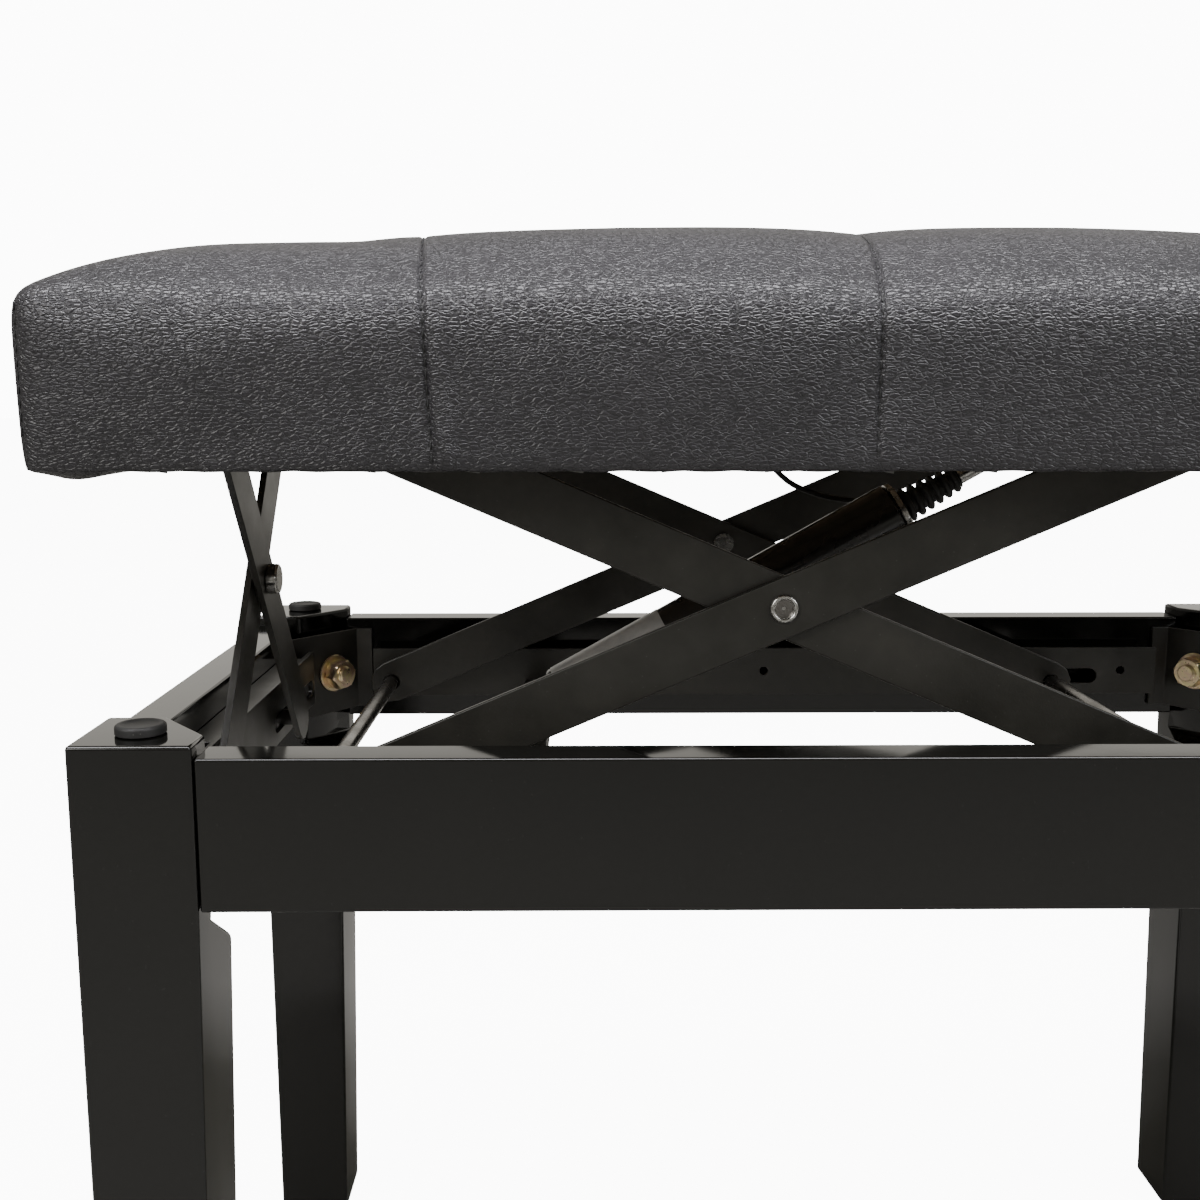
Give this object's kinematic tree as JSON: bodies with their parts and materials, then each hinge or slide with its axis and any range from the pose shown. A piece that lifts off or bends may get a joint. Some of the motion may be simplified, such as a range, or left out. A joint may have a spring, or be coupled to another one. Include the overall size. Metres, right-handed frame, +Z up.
{
  "type": "piano bench",
  "caption": "Upholstered piano bench on a black lacquered leg frame, raised and lowered by a steel scissor lift with a lockable gas spring and an under-seat lever.",
  "frame": {"origin": "on the floor under the middle of the bench, centre of its outline", "axes": "+X along the bench's width to the sitter's right as seen from the front, +Y to the back, +Z up"},
  "size_m": [0.596, 0.344, 0.5544],
  "materials": {
    "lacquered_wood": "black high-gloss lacquer",
    "rubber": "matte black rubber",
    "black_steel": "black powder coat, satin with fine orange peel",
    "bright_steel": "bright steel",
    "yellow_zinc": "yellow zinc plated steel",
    "black_plastic": "black plastic",
    "black_cylinder": "black painted steel tube with a blank grey label",
    "plywood": "bare plywood",
    "grey_leather": "charcoal grained synthetic leather over foam"
  },
  "bodies": {
    "base": {"leg_front_left": "lacquered_wood", "leg_front_right": "lacquered_wood", "leg_back_left": "lacquered_wood", "leg_back_right": "lacquered_wood", "rail_front": "lacquered_wood", "rail_back": "lacquered_wood", "rail_left": "lacquered_wood", "rail_right": "lacquered_wood", "bumper_front_left": "rubber", "bumper_front_right": "rubber", "bumper_back_left": "rubber", "bumper_back_right": "rubber", "base_channel_front": "black_steel", "base_channel_back": "black_steel", "base_channel_left": "black_steel", "base_channel_right": "black_steel", "corner_bracket_front_left": "black_steel", "corner_bracket_front_right": "black_steel", "corner_bracket_back_left": "black_steel", "corner_bracket_back_right": "black_steel", "corner_bolt_front_left": "yellow_zinc", "corner_bolt_front_right": "yellow_zinc", "corner_bolt_back_left": "yellow_zinc", "corner_bolt_back_right": "yellow_zinc", "gas_crossbar": "black_steel", "shaft_lower_fixed": "bright_steel"},
    "lift_rising": {"lift_arm_rising_front": "black_steel", "lift_arm_rising_back": "black_steel", "scissor_rivet_front": "bright_steel", "scissor_rivet_back": "bright_steel", "shaft_upper_sliding": "black_steel"},
    "lift_falling": {"lift_arm_falling_front": "black_steel", "lift_arm_falling_back": "black_steel", "shaft_lower_sliding": "black_steel"},
    "seat": {"seat_cushion": "grey_leather", "seat_board": "plywood", "seat_batten_front": "plywood", "seat_batten_back": "plywood", "seat_batten_left": "plywood", "seat_batten_right": "plywood", "seat_channel_front": "black_steel", "seat_channel_back": "black_steel", "seat_plate_left": "black_steel", "seat_plate_right": "black_steel", "shaft_upper_fixed": "black_steel", "gas_bracket": "black_steel", "lever_bracket": "black_steel", "release_cable": "black_plastic"},
    "side_rising_left": {"side_arm_rising_left": "black_steel", "side_rivet_left": "bright_steel"},
    "side_falling_left": {"side_arm_falling_left": "black_steel"},
    "side_rising_right": {"side_arm_rising_right": "black_steel", "side_rivet_right": "bright_steel"},
    "side_falling_right": {"side_arm_falling_right": "black_steel"},
    "gas_cylinder_body": {"gas_cylinder": "black_cylinder", "gas_collar": "bright_steel", "rod_boot": "rubber"},
    "gas_rod_body": {"gas_rod": "bright_steel", "release_head": "black_plastic"},
    "lever": {"release_lever": "black_plastic"}
  },
  "joints": [
    {"name": "lift", "type": "hinge", "parent": "base", "child": "lift_rising", "pos_m": [-0.2135, 0, 0.33], "axis": [0, -1, 0], "range_deg": [-13.85, 2]},
    {"name": "scissor", "type": "hinge", "parent": "lift_rising", "child": "lift_falling", "pos_m": [-0.02703, 0, 0.409], "axis": [0, -1, 0], "range_deg": [-4.1, 27.8]},
    {"name": "seat_level", "type": "hinge", "parent": "lift_falling", "child": "seat", "pos_m": [-0.2135, 0, 0.488], "axis": [0, -1, 0], "range_deg": [-13.95, 2.1]},
    {"name": "side_lift_left", "type": "hinge", "parent": "base", "child": "side_rising_left", "pos_m": [-0.251, -0.095, 0.33], "axis": [1, 0, 0], "range_deg": [-33.34, 4.9]},
    {"name": "side_scissor_left", "type": "hinge", "parent": "side_rising_left", "child": "side_falling_left", "pos_m": [-0.249, -0.03103, 0.409], "axis": [1, 0, 0], "range_deg": [-9.7, 66.58]},
    {"name": "side_lift_right", "type": "hinge", "parent": "base", "child": "side_rising_right", "pos_m": [0.251, -0.095, 0.33], "axis": [1, 0, 0], "range_deg": [-33.34, 4.9]},
    {"name": "side_scissor_right", "type": "hinge", "parent": "side_rising_right", "child": "side_falling_right", "pos_m": [0.249, -0.03103, 0.409], "axis": [1, 0, 0], "range_deg": [-9.7, 66.58]},
    {"name": "gas_tilt", "type": "hinge", "parent": "base", "child": "gas_cylinder_body", "pos_m": [-0.13, 0, 0.3398], "axis": [0, -1, 0], "range_deg": [-17.69, 2.64]},
    {"name": "gas_stroke", "type": "slide", "parent": "gas_cylinder_body", "child": "gas_rod_body", "axis": [0.872, 0, 0.4895], "range_m": [-0.03453, 0.00516]},
    {"name": "lever_press", "type": "hinge", "parent": "seat", "child": "lever", "pos_m": [0.225, -0.105, 0.4605], "axis": [0, -1, 0], "range_deg": [0, 6], "stiffness_Nm_per_rad": 0.6}
  ],
  "couplings": [
    {"joint": "scissor", "follows": "lift", "ratio": -2},
    {"joint": "seat_level", "follows": "lift", "ratio": 1},
    {"joint": "side_lift_left", "follows": "lift", "ratio": 2.4},
    {"joint": "side_scissor_left", "follows": "lift", "ratio": -4.8},
    {"joint": "side_lift_right", "follows": "lift", "ratio": 2.4},
    {"joint": "side_scissor_right", "follows": "lift", "ratio": -4.8},
    {"joint": "gas_tilt", "follows": "lift", "ratio": 1.27},
    {"joint": "gas_stroke", "follows": "lift", "m_per_rad": 0.142}
  ]
}
